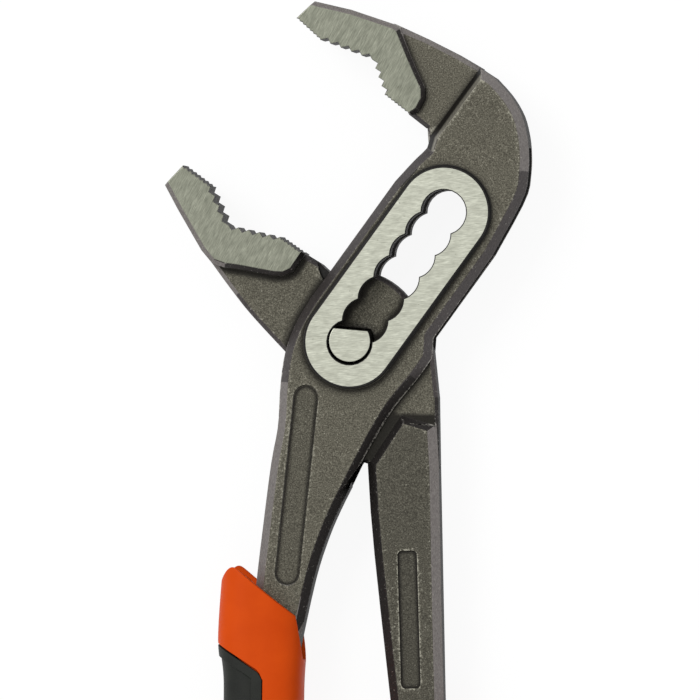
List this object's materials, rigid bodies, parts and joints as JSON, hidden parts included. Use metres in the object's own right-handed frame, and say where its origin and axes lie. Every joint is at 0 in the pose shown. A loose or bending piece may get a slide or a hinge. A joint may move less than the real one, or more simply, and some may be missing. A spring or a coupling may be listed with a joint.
{
  "type": "water pump pliers",
  "caption": "Adjustable water pump pliers with a through joint: a keyed pivot locks in a scalloped slot, toothed curved jaws, and two-part moulded grips on both handles.",
  "frame": {"origin": "on the pivot axis at rest, in the plane of the underside that the tool lies on", "axes": "+Y along the tool towards the jaws, +Z through its thickness, away from the surface that it lies on, +X to the side of the through lever's handle"},
  "size_m": [0.0704, 0.2502, 0.0164],
  "materials": {
    "forged_steel": "dark blasted forging with ground rim, jaws and tool marks",
    "pivot_steel": "bright ground ends",
    "grip_shell": "satin orange moulding",
    "grip_pad": "fine-textured dark grey moulding"
  },
  "bodies": {
    "slotted_lever": {"slotted_lever": "forged_steel", "slotted_grip_sleeve": "grip_shell", "slotted_grip_pad": "grip_pad"},
    "pivot_shank": {"pivot_shank": "pivot_steel"},
    "through_lever": {"through_lever": "forged_steel", "front_pivot_key": "pivot_steel", "rear_pivot_key": "pivot_steel", "through_grip_sleeve": "grip_shell", "through_grip_pad": "grip_pad"}
  },
  "joints": [
    {"name": "slot_slide", "type": "slide", "parent": "slotted_lever", "child": "pivot_shank", "axis": [0.5878, 0.809, 0], "range_m": [0, 0.0309]},
    {"name": "lever_pivot", "type": "hinge", "parent": "pivot_shank", "child": "through_lever", "pos_m": [0, 0, 0.0082], "axis": [0, 0, 1], "range_deg": [-5, 55]}
  ]
}
